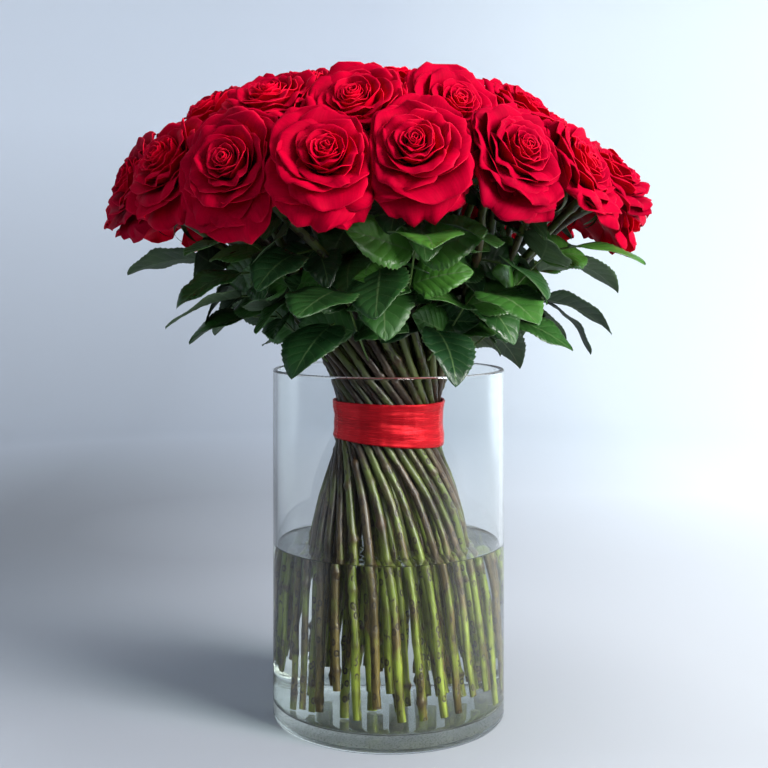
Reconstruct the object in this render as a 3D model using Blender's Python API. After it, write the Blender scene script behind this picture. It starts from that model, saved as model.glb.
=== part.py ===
"""A hand-tied bouquet of red roses in a clear glass cylinder vase.

Metres, +Z up. The origin is the middle of the vase's foot, and the bouquet's front faces -Y.
"""

import math
import random
from collections import namedtuple

import bmesh
import bpy
from mathutils import Vector

GAP = 0.0003  # between pieces that touch

# Vase: a straight cylinder with a thick base.
VASE_RADIUS = 0.125
VASE_HEIGHT = 0.373
VASE_WALL = 0.0045
VASE_BASE = 0.018
VASE_HEEL = 0.006
VASE_SIDES = 48

WATER_TOP = 0.185

# Tie: a satin ribbon wound round the stems where they cross.
RIBBON_BOTTOM = 0.297
RIBBON_TOP = 0.344
RIBBON_THICKNESS = 0.0018
RIBBON_SIDES = 40
TIE_HEIGHT = (RIBBON_BOTTOM + RIBBON_TOP) / 2

# Stems cross at the tie, spread again below it, and fan out above it.
STEM_RADIUS = 0.0036
STEM_SIDES = 8
FOOT_STEPS = (0.001, 0.010, 0.022, 0.036)  # the stems are cut to uneven lengths
LOWER_BEND_HEIGHT = 0.205
FAN_HEIGHT = 0.378

# The heads stand on a dome, in rings from the outermost in. Each ring has its radius and height, and
# how far its heads lean from upright. Its stems have their distance from the axis at the tie, how far
# they lean above it, how far across they have travelled at the lower bend, and their feet's distance.
Ring = namedtuple("Ring", "count radius height lean tie_radius tie_slope bend_travel foot_radius")
RINGS = (
    Ring(18, 0.266, 0.572, math.radians(58), 0.0505, 0.75, 0.062, 0.112),
    Ring(13, 0.200, 0.631, math.radians(40), 0.0505, 0.75, 0.062, 0.106),
    Ring(8, 0.121, 0.664, math.radians(22), 0.0310, 0.36, 0.036, 0.070),
    Ring(3, 0.045, 0.680, math.radians(8), 0.0110, 0.12, 0.014, 0.030),
)
FIRST_HEAD_ANGLE = math.radians(-81)
DOME_SHIFT = -0.014  # the dome sits a little to the left of the vase
DOME_TIP = math.radians(4.5)  # and is tipped back, so that its front edge is higher
TIP_HEIGHT = 0.450

# A flower head's outline: distance from its axis and height, as shares of its radius.
HEAD_OUTLINE = (
    (0.24, -0.70),
    (0.62, -0.46),
    (1.00, 0.04),
    (0.78, 0.40),
    (0.30, 0.52),
)
HEAD_BASE = -0.74
PETAL_LOBES = 0.95  # every other side of a wide ring is drawn in to this share

# Leaf sprays: compound leaves under the heads, in an upper and a lower tier.
LEAF_PAIRS = 7
LEAF_THICKNESS = 0.0014
UPPER_LEAF_PATH = ((0.141, 0.447), (0.200, 0.522), (0.256, 0.474))
LOWER_LEAF_PATH = ((0.106, 0.408), (0.158, 0.482), (0.210, 0.414))

# A leaf's half widths along its length: the bare petiole, two pairs of leaflets and the end one.
LEAF_OUTLINE = (
    (0.00, 0.0020),
    (0.14, 0.0020),
    (0.22, 0.0280),
    (0.30, 0.0430),
    (0.38, 0.0270),
    (0.44, 0.0030),
    (0.51, 0.0300),
    (0.59, 0.0430),
    (0.67, 0.0210),
    (0.71, 0.0030),
    (0.79, 0.0200),
    (0.87, 0.0230),
    (0.94, 0.0150),
    (1.00, 0.0025),
)

rng = random.Random(12)


def clear_scene():
    for item in list(bpy.data.objects):
        bpy.data.objects.remove(item, do_unlink=True)


def material(name, colour, roughness, metallic=0.0, transmission=0.0):
    made = bpy.data.materials.new(name)
    made.use_nodes = True
    shader = made.node_tree.nodes["Principled BSDF"]
    shader.inputs["Base Color"].default_value = (*colour, 1.0)
    shader.inputs["Roughness"].default_value = roughness
    shader.inputs["Metallic"].default_value = metallic
    shader.inputs["Transmission Weight"].default_value = transmission
    return made


def finish(name, shape, finish_of, smooth_angle):
    """The bmesh made into a named object with its material, its faces pointing out."""
    bmesh.ops.recalc_face_normals(shape, faces=shape.faces)
    mesh = bpy.data.meshes.new(name)
    shape.to_mesh(mesh)
    shape.free()
    mesh.materials.append(finish_of)
    mesh.shade_smooth()
    mesh.set_sharp_from_angle(angle=smooth_angle)
    made = bpy.data.objects.new(name, mesh)
    bpy.context.scene.collection.objects.link(made)
    return made


def turned(outline, sides):
    """An outline of (radius, height) points, spun round the Z axis. One off the axis is closed first."""
    shape = bmesh.new()
    corners = [shape.verts.new((radius, 0.0, height)) for radius, height in outline]
    edges = [shape.edges.new(pair) for pair in zip(corners, corners[1:])]
    if outline[0][0] > 0.0:
        edges.append(shape.edges.new((corners[-1], corners[0])))
    bmesh.ops.spin(
        shape,
        geom=corners + edges,
        cent=(0.0, 0.0, 0.0),
        axis=(0.0, 0.0, 1.0),
        angle=math.tau,
        steps=sides,
        use_merge=True,
        use_duplicate=False,
    )
    bmesh.ops.remove_doubles(shape, verts=shape.verts, dist=0.00001)
    return shape


def skin_rings(shape, rings):
    """Faces between rings of as many corners each, with a face over both ends."""
    for lower, upper in zip(rings, rings[1:]):
        for side in range(len(lower)):
            after = (side + 1) % len(lower)
            shape.faces.new((lower[side], lower[after], upper[after], upper[side]))
    shape.faces.new(rings[0][::-1])
    shape.faces.new(rings[-1])


def arc(centre, radius, first, last, steps):
    """Points of (radius, height) on a round corner, by angle."""
    angles = [first + (last - first) * step / steps for step in range(steps + 1)]
    return [(centre[0] + radius * math.cos(a), centre[1] + radius * math.sin(a)) for a in angles]


def make_vase():
    """The glass cylinder: a rounded heel, a rounded lip and a flat floor inside."""
    glass = material("glass", (0.90, 0.94, 0.95), 0.03, transmission=1.0)
    rim = VASE_WALL / 2
    heel = arc((VASE_RADIUS - VASE_HEEL, VASE_HEEL), VASE_HEEL, -math.pi / 2, 0.0, 3)
    lip = arc((VASE_RADIUS - rim, VASE_HEIGHT - rim), rim, 0.0, math.pi, 4)
    floor = [(VASE_RADIUS - VASE_WALL, VASE_BASE), (0.0, VASE_BASE)]
    outline = [(0.0, 0.0)] + heel + lip + floor
    finish("vase", turned(outline, VASE_SIDES), glass, math.radians(40))


def tipped(place):
    """A place in the dome or its collar, turned back about a level line from left to right."""
    rise = place.z - TIP_HEIGHT
    back = place.y * math.cos(DOME_TIP) + rise * math.sin(DOME_TIP)
    height = TIP_HEIGHT + rise * math.cos(DOME_TIP) - place.y * math.sin(DOME_TIP)
    return Vector((place.x, back, height))


def stem_place(tie_radius, tie_angle, travel, height):
    """A point on a stem that crosses the tie at an angle and has leaned across by some travel."""
    out = Vector((math.cos(tie_angle), math.sin(tie_angle), 0.0))
    across = Vector((math.sin(tie_angle), -math.cos(tie_angle), 0.0))
    return out * tie_radius + across * travel + Vector((0.0, 0.0, height))


class Rose:
    """One cut rose: where its head is, and the path of its stem through the tie."""

    def __init__(self, ring, index, half_step):
        self.ring = ring
        angle = FIRST_HEAD_ANGLE + math.tau * (index + half_step) / ring.count
        angle += rng.uniform(-0.014, 0.014)
        lean = ring.lean + rng.uniform(-0.10, 0.10)
        out = Vector((math.cos(angle), math.sin(angle), 0.0))
        up = Vector((0.0, 0.0, 1.0))
        self.axis = out * math.sin(lean) + up * math.cos(lean)
        self.head = tipped(out * ring.radius + up * (ring.height + rng.uniform(-0.006, 0.006)))
        self.head.x += DOME_SHIFT
        self.foot_radius = ring.foot_radius * rng.uniform(0.86, 1.0)
        self.foot_height = VASE_BASE + GAP + rng.choice(FOOT_STEPS)
        self.head_radius = 0.0
        self.tie_angle = 0.0

    def head_base(self):
        return self.head + self.axis * (self.head_radius * HEAD_BASE)

    def straight_tie_angle(self):
        """Where the stem would cross the tie if it ran straight, seen from above."""
        base = self.head_base()
        reach = math.hypot(base.x, base.y)
        return math.atan2(base.y, base.x) + math.acos(self.ring.tie_radius / reach)

    def place(self, travel, height):
        return stem_place(self.ring.tie_radius, self.tie_angle, travel, height)

    def below(self, height):
        """The stem's middle at a height from the lower bend up to the tie."""
        slope = self.ring.bend_travel / (TIE_HEIGHT - LOWER_BEND_HEIGHT)
        return self.place(slope * (height - TIE_HEIGHT), height)

    def above(self, height):
        """The stem's middle at a height from the tie up to where the fan opens."""
        return self.place(self.ring.tie_slope * (height - TIE_HEIGHT), height)

    def path(self):
        """The stem's bends, from its cut foot to the head."""
        foot_travel = math.sqrt(self.foot_radius**2 - self.ring.tie_radius**2)
        foot = self.place(-foot_travel, self.foot_height)
        fan = self.above(FAN_HEIGHT)
        base = self.head_base()
        tie = self.above(TIE_HEIGHT)
        onward = fan + (fan - tie).normalized() * (base - fan).length * 0.5
        arch = fan * 0.25 + onward * 0.5 + base * 0.25
        return [foot, self.below(LOWER_BEND_HEIGHT), tie, fan, arch, base]


def plan_roses():
    """Every rose, with heads that clear their neighbours and stems spaced evenly round the tie."""
    roses = [Rose(ring, i, (r % 2) / 2) for r, ring in enumerate(RINGS) for i in range(ring.count)]
    for rose in roses:
        nearest = min((rose.head - other.head).length for other in roses if other is not rose)
        rose.head_radius = nearest / 2 - GAP
    for tie_radius in sorted({ring.tie_radius for ring in RINGS}):
        layer = [rose for rose in roses if rose.ring.tie_radius == tie_radius]
        layer.sort(key=Rose.straight_tie_angle)
        steps = [math.tau * i / len(layer) for i in range(len(layer))]
        drift = sum(rose.straight_tie_angle() - step for rose, step in zip(layer, steps)) / len(layer)
        for rose, step in zip(layer, steps):
            rose.tie_angle = step + drift
    return roses


def section_frames(path, last_direction):
    """At each point of a path, two level-free directions square to it, without twist."""
    side = Vector((0.0, 1.0, 0.0))
    frames = []
    for i, point in enumerate(path):
        before = path[max(i - 1, 0)]
        after = path[min(i + 1, len(path) - 1)]
        along = last_direction if i == len(path) - 1 else (after - before).normalized()
        side = (side - along * side.dot(along)).normalized()
        frames.append((point, side, along.cross(side)))
    return frames


def section(shape, middle, side, other, radius, lobes=1.0):
    """A ring of corners round a point; every other one may be drawn in."""
    ring = []
    for step in range(STEM_SIDES):
        angle = math.tau * step / STEM_SIDES
        reach = radius * (lobes if step % 2 else 1.0)
        ring.append(shape.verts.new(middle + (side * math.cos(angle) + other * math.sin(angle)) * reach))
    return ring


def stem_sections(shape, rose, radius):
    frames = section_frames(rose.path(), rose.axis)
    return [section(shape, *frame, radius) for frame in frames], frames[-1]


def make_rose(name, rose, petals):
    """A cut rose as one solid: the stem, and on it a head that opens from its calyx to a shallow crown."""
    shape = bmesh.new()
    rings, (_, side, other) = stem_sections(shape, rose, STEM_RADIUS)
    for share, height in HEAD_OUTLINE:
        middle = rose.head + rose.axis * (rose.head_radius * height)
        lobes = PETAL_LOBES if share > 0.5 else 1.0
        rings.append(section(shape, middle, side, other, rose.head_radius * share, lobes))
    skin_rings(shape, rings)
    finish(name, shape, petals, math.radians(50))


def make_roses(roses):
    petals = material("rose_petals", (0.60, 0.0, 0.03), 0.55)
    for number, rose in enumerate(roses, start=1):
        make_rose(f"rose_{number:02d}", rose, petals)


def make_ribbon(roses):
    """The satin ribbon as one band that follows the waist of the bundle."""
    satin = material("ribbon_satin", (0.65, 0.01, 0.03), 0.30)
    lean_room = 1.2  # a leaning stem's level section is wider than the stem
    low = max(math.hypot(*rose.below(RIBBON_BOTTOM).xy) for rose in roses)
    middle = max(rose.ring.tie_radius for rose in roses)
    high = max(math.hypot(*rose.above(RIBBON_TOP).xy) for rose in roses)
    room = STEM_RADIUS * lean_room + GAP
    heights = (RIBBON_BOTTOM, TIE_HEIGHT, RIBBON_TOP)
    inner = [(radius + room, height) for radius, height in zip((low, middle, high), heights)]
    outer = [(radius + RIBBON_THICKNESS, height) for radius, height in reversed(inner)]
    finish("ribbon", turned(inner + outer, RIBBON_SIDES), satin, math.radians(40))


def make_water(roses):
    """Water that fills the lower vase round the stems."""
    water = material("water", (0.80, 0.88, 0.86), 0.02, transmission=1.0)
    reach = VASE_RADIUS - VASE_WALL - GAP
    floor = VASE_BASE + GAP
    outline = [(0.0, floor), (reach, floor), (reach, WATER_TOP), (0.0, WATER_TOP)]
    body = finish("water", turned(outline, VASE_SIDES), water, math.radians(40))
    stems = bmesh.new()
    for rose in roses:
        skin_rings(stems, stem_sections(stems, rose, STEM_RADIUS + GAP)[0])
    cutter = finish("stems_with_clearance", stems, water, math.radians(40))
    cutter.hide_render = True
    cutter.display_type = "WIRE"
    cut = body.modifiers.new("stems", "BOOLEAN")
    cut.operation = "DIFFERENCE"
    cut.solver = "EXACT"
    cut.use_self = True
    cut.object = cutter


def curve_point(path, share):
    """A point at a share of a curve through a start, bent towards a middle point, to an end."""
    start, middle, end = (Vector(point) for point in path)
    return start.lerp(middle, share).lerp(middle.lerp(end, share), share)


def make_leaf(name, angle, path, leaf_green):
    """One compound leaf: a thin blade whose width swells at each pair of leaflets."""
    shape = bmesh.new()
    out = Vector((math.cos(angle), math.sin(angle), 0.0))
    across = Vector((-out.y, out.x, 0.0))
    thickness = Vector((0.0, 0.0, LEAF_THICKNESS))
    rings = []
    for share, half_width in LEAF_OUTLINE:
        radius, height = curve_point(path, share)
        middle = out * radius + Vector((0.0, 0.0, height))
        droop = Vector((0.0, 0.0, 0.15 * half_width))
        left = middle - across * half_width - droop
        right = middle + across * half_width - droop
        corners = (left, middle, right, right + thickness, middle + thickness, left + thickness)
        rings.append([shape.verts.new(tipped(corner)) for corner in corners])
    skin_rings(shape, rings)
    finish(name, shape, leaf_green, math.radians(50))


def make_leaves():
    """The collar under the heads: upper and lower leaves by turns round the bouquet."""
    leaf_green = material("leaf_green", (0.03, 0.13, 0.04), 0.35)
    for number in range(2 * LEAF_PAIRS):
        path = LOWER_LEAF_PATH if number % 2 else UPPER_LEAF_PATH
        angle = FIRST_HEAD_ANGLE + math.tau * number / (2 * LEAF_PAIRS) + rng.uniform(-0.06, 0.06)
        make_leaf(f"leaf_spray_{number + 1:02d}", angle, path, leaf_green)


clear_scene()
planned = plan_roses()
make_vase()
make_water(planned)
make_ribbon(planned)
make_roses(planned)
make_leaves()
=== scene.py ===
import math
import random

import bmesh
import bpy
import numpy as np
from mathutils import Matrix, Vector, geometry, noise


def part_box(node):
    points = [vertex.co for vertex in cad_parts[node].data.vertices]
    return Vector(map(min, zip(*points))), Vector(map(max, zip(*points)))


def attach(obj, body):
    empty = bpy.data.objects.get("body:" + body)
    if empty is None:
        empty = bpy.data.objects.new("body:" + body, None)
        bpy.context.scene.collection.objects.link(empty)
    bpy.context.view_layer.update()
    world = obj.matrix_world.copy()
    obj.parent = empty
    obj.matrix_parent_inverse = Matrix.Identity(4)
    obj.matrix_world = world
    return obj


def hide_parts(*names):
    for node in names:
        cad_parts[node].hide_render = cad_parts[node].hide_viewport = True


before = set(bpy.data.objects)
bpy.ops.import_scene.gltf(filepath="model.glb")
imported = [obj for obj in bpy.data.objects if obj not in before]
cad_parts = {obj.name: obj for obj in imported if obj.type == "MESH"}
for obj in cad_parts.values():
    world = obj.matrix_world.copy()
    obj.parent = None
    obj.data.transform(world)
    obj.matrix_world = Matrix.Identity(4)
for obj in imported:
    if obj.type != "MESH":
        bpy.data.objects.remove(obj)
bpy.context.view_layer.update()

# The studio: a seamless pale bowl that serves as floor and backdrop, and a level camera at the
# height of the leaves. One large softbox stands to the front right, and weaker ones fill in.
BOWL_FLOOR_RADIUS = 2.4
BOWL_CURVE = 1.5
BOWL_HEIGHT = 5.5
FLOOR_DROP = 0.0004  # keeps the floor just clear of the foot of the vase
CAMERA_PLACE = (-0.0049, -1.326, 0.476)
CAMERA_LENS = 57.2
CAMERA_SHIFT = -0.1445
# Each light: place, what it points at, width, height, watts, colour. The gloss light only gives
# the satin, the rim and the bark their shine.
STUDIO_LIGHTS = (
    ("softbox", (1.50, -0.96, 1.22), (0.0, 0.0, 0.50), 0.7, 1.4, 94.0, (1.0, 0.98, 0.97)),
    ("left_fill", (-1.5, -1.1, 0.7), (0.0, 0.0, 0.4), 0.9, 1.6, 3.0, (0.90, 0.94, 1.0)),
    ("front_gloss", (0.45, -1.35, 1.05), (0.0, 0.0, 0.33), 0.5, 0.5, 12.0, (1.0, 1.0, 1.0)),
    ("top_light", (0.3, 0.1, 2.0), (0.0, 0.0, 0.6), 1.0, 1.0, 19.0, (1.0, 1.0, 1.0)),
    ("wall_wash", (2.3, 1.3, 1.3), (2.0, 3.4, 0.7), 1.2, 1.4, 46.0, (0.90, 0.97, 1.0)),
)
BOWL_CURVE_STEPS = 24
BOWL_SIDES = 96
SKY = (0.84, 0.89, 1.0)
SKY_STRENGTH = 0.45
PAPER_FADE = (-0.75, 0.75)  # painted light: the left is painted a little darker than the right
# The paper's colours, from its painted-dark left through its middle to its painted-light right.
PAPER_COOL = (0.43, 0.465, 0.515)
PAPER_MIDDLE = (0.475, 0.51, 0.565)
PAPER_BRIGHT = (0.59, 0.63, 0.66)
SHADE_PLACE = (-0.30, 1.00, 0.0)  # middle of the painted shadow of the bouquet on the left floor
SHADE_REACH = (0.3, 1.25)
SHADE_GAIN = 0.36
WALL_RISE = (0.0, 1.1)
WALL_GAIN = 1.55  # painted light: how much lighter the left wall is painted than its floor
RIGHT_DEPTH = (-0.1, 1.3)  # painted light: the right is painted lighter between these depths
RIGHT_GAIN = (0.55, 1.36)
FRONT_FACING = (-0.30, -0.62)  # where the painted dim end of mirrored paper starts, and is full
PAINTED_DIM_END = (0.02, 0.02, 0.025)
SHARP_ANGLE = math.radians(60)  # a piece is smooth across any edge less bent than this


def node(tree, kind, inputs=None, **settings):
    """A shader node. Each input is a value, or a socket to link from."""
    made = tree.nodes.new("ShaderNode" + kind)
    for key, value in settings.items():
        setattr(made, key, value)
    for key, value in (inputs or {}).items():
        if isinstance(value, bpy.types.NodeSocket):
            tree.links.new(value, made.inputs[key])
        else:
            made.inputs[key].default_value = value
    return made


def ramp(tree, factor, *stops):
    """A colour ramp of (position, colour) stops."""
    made = node(tree, "ValToRGB", {0: factor})
    elements = made.color_ramp.elements
    while len(elements) < len(stops):
        elements.new(0.5)
    for element, (position, colour) in zip(elements, stops):
        element.position = position
        element.color = (*colour, 1.0)
    return made.outputs[0]


def maths(tree, operation, *values):
    return node(tree, "Math", dict(enumerate(values)), operation=operation).outputs[0]


def map_range(tree, value, source, target=(0.0, 1.0)):
    """The value moved from one range to another, and kept inside it."""
    places = {0: value, 1: source[0], 2: source[1], 3: target[0], 4: target[1]}
    return node(tree, "MapRange", places).outputs[0]


def noise_at(tree, place, scale, detail):
    return node(tree, "TexNoise", {"Vector": place, "Scale": scale, "Detail": detail}).outputs[0]


def scaled(tree, place, across, along):
    """A surface place scaled by how many noise cells a metre holds across and along."""
    return node(tree, "Mapping", {0: place, "Scale": (across, along, 1.0)}).outputs[0]


def mixed(tree, share, first, second, how="MIX"):
    """Two colours mixed by a share."""
    made = node(tree, "Mix", data_type="RGBA", blend_type=how)
    for socket, value in zip((0, 6, 7), (share, first, second)):
        if isinstance(value, bpy.types.NodeSocket):
            tree.links.new(value, made.inputs[socket])
        elif socket:
            made.inputs[socket].default_value = (*value, 1.0)
        else:
            made.inputs[socket].default_value = value
    return made.outputs[2]


def new_material(name, **sockets):
    """A material with its Principled shader, and the sockets that are the same all over set."""
    made = bpy.data.materials.new(name)
    made.use_nodes = True
    shader = made.node_tree.nodes["Principled BSDF"]
    for key, value in sockets.items():
        shader.inputs[key.replace("_", " ")].default_value = value
    return made, made.node_tree, shader


def bump(tree, shader, height, strength, distance):
    made = node(tree, "Bump", {"Height": height, "Strength": strength, "Distance": distance})
    tree.links.new(made.outputs[0], shader.inputs["Normal"])


def to_object(name, shape, *finishes):
    """The bmesh made into a smooth piece at the origin, with its materials."""
    mesh = bpy.data.meshes.new(name)
    shape.to_mesh(mesh)
    shape.free()
    mesh.shade_smooth()
    mesh.set_sharp_from_angle(angle=SHARP_ANGLE)
    for finish in finishes:
        mesh.materials.append(finish)
    made = bpy.data.objects.new(name, mesh)
    bpy.context.scene.collection.objects.link(made)
    return made


def turned(outline, sides):
    """A bmesh of an open outline of (radius, height) points spun round the Z axis."""
    shape = bmesh.new()
    corners = [shape.verts.new((radius, 0.0, height)) for radius, height in outline]
    edges = [shape.edges.new(pair) for pair in zip(corners, corners[1:])]
    bmesh.ops.spin(
        shape,
        geom=corners + edges,
        cent=(0.0, 0.0, 0.0),
        axis=(0.0, 0.0, 1.0),
        angle=math.tau,
        steps=sides,
        use_merge=True,
        use_duplicate=False,
    )
    bmesh.ops.remove_doubles(shape, verts=shape.verts, dist=0.00001)
    bmesh.ops.recalc_face_normals(shape, faces=shape.faces)
    return shape


def arc(centre, radius, first, last, steps):
    """Points of (radius, height) on a round corner, by angle."""
    angles = [first + (last - first) * step / steps for step in range(steps + 1)]
    return [(centre[0] + radius * math.cos(a), centre[1] + radius * math.sin(a)) for a in angles]


def build_studio():
    paper, tree, shader = new_material("studio_paper", Roughness=0.75)
    place = node(tree, "TexCoord").outputs["Object"]
    mottle = noise_at(tree, place, 1.2, 3.0)
    across, depth, height = node(tree, "SeparateXYZ", {0: place}).outputs
    # Painted light: the paper runs from painted dark on the left to painted light on the right,
    # with a little real mottle.
    side = map_range(tree, across, PAPER_FADE)
    paper_mottle_and_painted_fade = maths(tree, "MULTIPLY_ADD", mottle, 0.05, side)
    paper_with_painted_light = ramp(tree, paper_mottle_and_painted_fade, (0.0, PAPER_COOL), (0.5, PAPER_MIDDLE), (1.0, PAPER_BRIGHT))
    # Painted light and shade: on the left the paper is painted dim round one spot, a
    # painted shadow, and painted lighter up the wall. On the right it is painted lighter towards
    # the back.
    rise = map_range(tree, height, WALL_RISE, (1.0, WALL_GAIN))
    spot = node(tree, "VectorMath", {0: place, 1: SHADE_PLACE}, operation="DISTANCE")
    shade = map_range(tree, spot.outputs["Value"], SHADE_REACH, (SHADE_GAIN, 1.0))
    left = maths(tree, "MULTIPLY", rise, shade)
    right = map_range(tree, depth, RIGHT_DEPTH, RIGHT_GAIN)
    painted_light_gain = maths(tree, "MULTIPLY_ADD", side, maths(tree, "SUBTRACT", right, left), left)
    paper_with_painted_light = node(tree, "VectorMath", {0: paper_with_painted_light, "Scale": painted_light_gain}, operation="SCALE").outputs[0]
    # Painted shade: where the glass mirrors the paper straight in front of it, the paper is
    # painted near black, standing in for the dim end of the room.
    mirrored = maths(tree, "GREATER_THAN", node(tree, "LightPath").outputs["Glossy Depth"], 0.5)
    level = node(tree, "CombineXYZ", {0: across, 1: depth})
    reach = node(tree, "VectorMath", {0: level.outputs[0]}, operation="LENGTH").outputs["Value"]
    facing = maths(tree, "DIVIDE", depth, reach)
    front = map_range(tree, facing, FRONT_FACING)
    paper_with_painted_light = mixed(tree, maths(tree, "MULTIPLY", mirrored, front), paper_with_painted_light, PAINTED_DIM_END)
    tree.links.new(paper_with_painted_light, shader.inputs["Base Color"])
    wall_radius = BOWL_FLOOR_RADIUS + BOWL_CURVE
    curve_middle = (BOWL_FLOOR_RADIUS, BOWL_CURVE - FLOOR_DROP)
    curve = arc(curve_middle, BOWL_CURVE, -math.pi / 2, 0.0, BOWL_CURVE_STEPS)
    outline = [(0.0, -FLOOR_DROP)] + curve
    outline.append((wall_radius, BOWL_HEIGHT))
    shape = turned(outline, BOWL_SIDES)
    bmesh.ops.reverse_faces(shape, faces=shape.faces)
    bowl = to_object("studio_bowl", shape, paper)
    for name, place, target, width, height, watts, colour in STUDIO_LIGHTS:
        lamp = bpy.data.lights.new(name, "AREA")
        lamp.shape = "RECTANGLE"
        lamp.size = width
        lamp.size_y = height
        lamp.energy = watts
        lamp.color = colour
        holder = bpy.data.objects.new(name, lamp)
        holder.location = place
        holder.rotation_euler = (Vector(target) - Vector(place)).to_track_quat("-Z", "Y").to_euler()
        holder.visible_camera = False
        holder.visible_transmission = False
        holder.visible_glossy = name.endswith(("softbox", "gloss"))
        holder.visible_diffuse = not name.endswith("gloss")
        bpy.context.scene.collection.objects.link(holder)
    world = bpy.data.worlds.new("studio_sky")
    world.use_nodes = True
    background = world.node_tree.nodes["Background"]
    background.inputs["Color"].default_value = (*SKY, 1.0)
    background.inputs["Strength"].default_value = SKY_STRENGTH
    bpy.context.scene.world = world
    lens = bpy.data.cameras.new("camera")
    lens.lens = CAMERA_LENS
    lens.sensor_width = 36.0
    lens.shift_y = CAMERA_SHIFT
    camera = bpy.data.objects.new("camera", lens)
    camera.location = CAMERA_PLACE
    camera.rotation_euler = (math.pi / 2, 0.0, 0.0)
    bpy.context.scene.collection.objects.link(camera)
    bpy.context.scene.camera = camera
    bpy.context.scene.view_settings.view_transform = "Standard"


build_studio()

# The vase: one thick blown-glass cylinder with a heavy flat base, a rounded heel and a
# rounded rim. It is a single piece of clear soda-lime glass, with its rim and its underside ground.
# The whitish ground rim is also a painted highlight along the lip, and the underside is painted
# darker towards the floor, a painted shade.
GLASS_WALL = 0.0045
GLASS_BASE = 0.018
GLASS_HEEL = 0.006
GLASS_CORNER = 0.007  # the rounding inside, where the wall meets the base
GLASS_SIDES = 240
ROUNDING_STEPS = 8
LIP_STEPS = 10
GLASS_HOLD = 0.0008  # how soon a wall is straight after a rounding
GLASS_IOR = 1.5
GROUND_RIM = 0.0011  # how far down the rim the grinding reaches
GROUND_FOOT = 0.0013
FOOT_HOLLOW = 0.0012  # how far the middle of the underside is hollowed
FOOT_HOLLOW_SHARE = 0.72  # of the radius of the vase
FOOT_RING_SHARE = 0.78


def clear_material(name, colour, ior):
    """Clear glass or water. Lamps reach what is behind it as if it were open."""
    made, tree, shader = new_material(name, IOR=ior, Transmission_Weight=1.0)
    shader.inputs["Base Color"].default_value = (*colour, 1.0)
    rays = node(tree, "LightPath").outputs
    passing = maths(tree, "MAXIMUM", rays["Is Shadow Ray"], rays["Is Diffuse Ray"])
    through = node(tree, "BsdfTransparent", {"Color": (*colour, 1.0)}).outputs[0]
    both = node(tree, "MixShader", {0: passing, 1: shader.outputs[0], 2: through}).outputs[0]
    tree.links.new(both, tree.nodes["Material Output"].inputs["Surface"])
    return made, tree, shader


def build_vase():
    low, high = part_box("vase")
    reach = high.x
    bore = reach - GLASS_WALL
    rim = GLASS_WALL / 2
    glass, tree, shader = clear_material("clear_glass", (0.955, 0.975, 0.975), GLASS_IOR)
    place = node(tree, "TexCoord").outputs["Object"]
    haze = noise_at(tree, place, 22.0, 5.0)
    cloud = map_range(tree, haze, (0.45, 0.85), (0.0, 0.05))
    tree.links.new(cloud, shader.inputs["Roughness"])
    ripple = noise_at(tree, place, 9.0, 1.0)
    bump(tree, shader, ripple, 0.04, 0.002)
    ground, tree, shader = new_material(
        "ground_glass_painted_light", IOR=GLASS_IOR, Transmission_Weight=0.76, Specular_IOR_Level=0.7
    )
    place = node(tree, "TexCoord").outputs["Object"]
    grit = noise_at(tree, place, 600.0, 3.0)
    # The whitish frost is partly the ground glass and partly a painted highlight on the rim.
    frost_and_painted_light = ramp(tree, grit, (0.35, (0.78, 0.82, 0.84)), (0.65, (0.94, 0.97, 0.98)))
    height = node(tree, "SeparateXYZ", {0: place}).outputs[2]
    # Painted shade: the ground underside is painted darker towards the floor it stands on.
    painted_foot_shade = map_range(tree, height, (0.0, 0.01), (0.22, 1.0))
    frost_and_painted_light = node(tree, "VectorMath", {0: frost_and_painted_light, "Scale": painted_foot_shade}, operation="SCALE").outputs[0]
    tree.links.new(frost_and_painted_light, shader.inputs["Base Color"])
    rough = map_range(tree, grit, (0.3, 0.7), (0.22, 0.40))
    tree.links.new(rough, shader.inputs["Roughness"])
    hollow = low.z + FOOT_HOLLOW
    foot = [(0.0, hollow), (reach * FOOT_HOLLOW_SHARE, hollow), (reach * FOOT_RING_SHARE, low.z)]
    middle = (reach - GLASS_HEEL, low.z + GLASS_HEEL)
    heel = arc(middle, GLASS_HEEL, -math.pi / 2, 0.0, ROUNDING_STEPS)
    lip = arc((reach - rim, high.z - rim), rim, 0.0, math.pi, LIP_STEPS)
    middle = (bore - GLASS_CORNER, GLASS_BASE + GLASS_CORNER)
    corner = arc(middle, GLASS_CORNER, 0.0, -math.pi / 2, ROUNDING_STEPS)
    outside = [(reach, heel[-1][1] + GLASS_HOLD), (reach, lip[0][1] - GLASS_HOLD)]
    inside = [(bore, lip[-1][1] - GLASS_HOLD), (bore, corner[0][1] + GLASS_HOLD)]
    outline = foot + heel + outside + lip + inside + corner + [(0.0, GLASS_BASE)]
    shape = turned(outline, GLASS_SIDES)
    for face in shape.faces:
        middle = face.calc_center_median()
        ring = reach * FOOT_RING_SHARE
        underside = middle.z < low.z + GROUND_FOOT and middle.xy.length < ring
        face.material_index = int(underside or middle.z > high.z - GROUND_RIM)
    vase = to_object("vase_glass", shape, glass, ground)
    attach(vase, "root")
    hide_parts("vase")


build_vase()

# The roses: forty-two cut stems, each running from its slanted cut in the water, across the tie
# and up to one flower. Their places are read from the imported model, eight corners to a section.
SECTION_LEVELS = (0.10, 0.26, 0.345, 0.39)  # heights that part the foot, bend, tie and fan
SECTION_CORNERS = 8
HEAD_BASE_SHARE = 0.74
OUTER_REACH = 0.04  # a rose farther than this from the axis at the tie is an outer one


def unit(vector):
    return vector / np.linalg.norm(vector)


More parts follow.
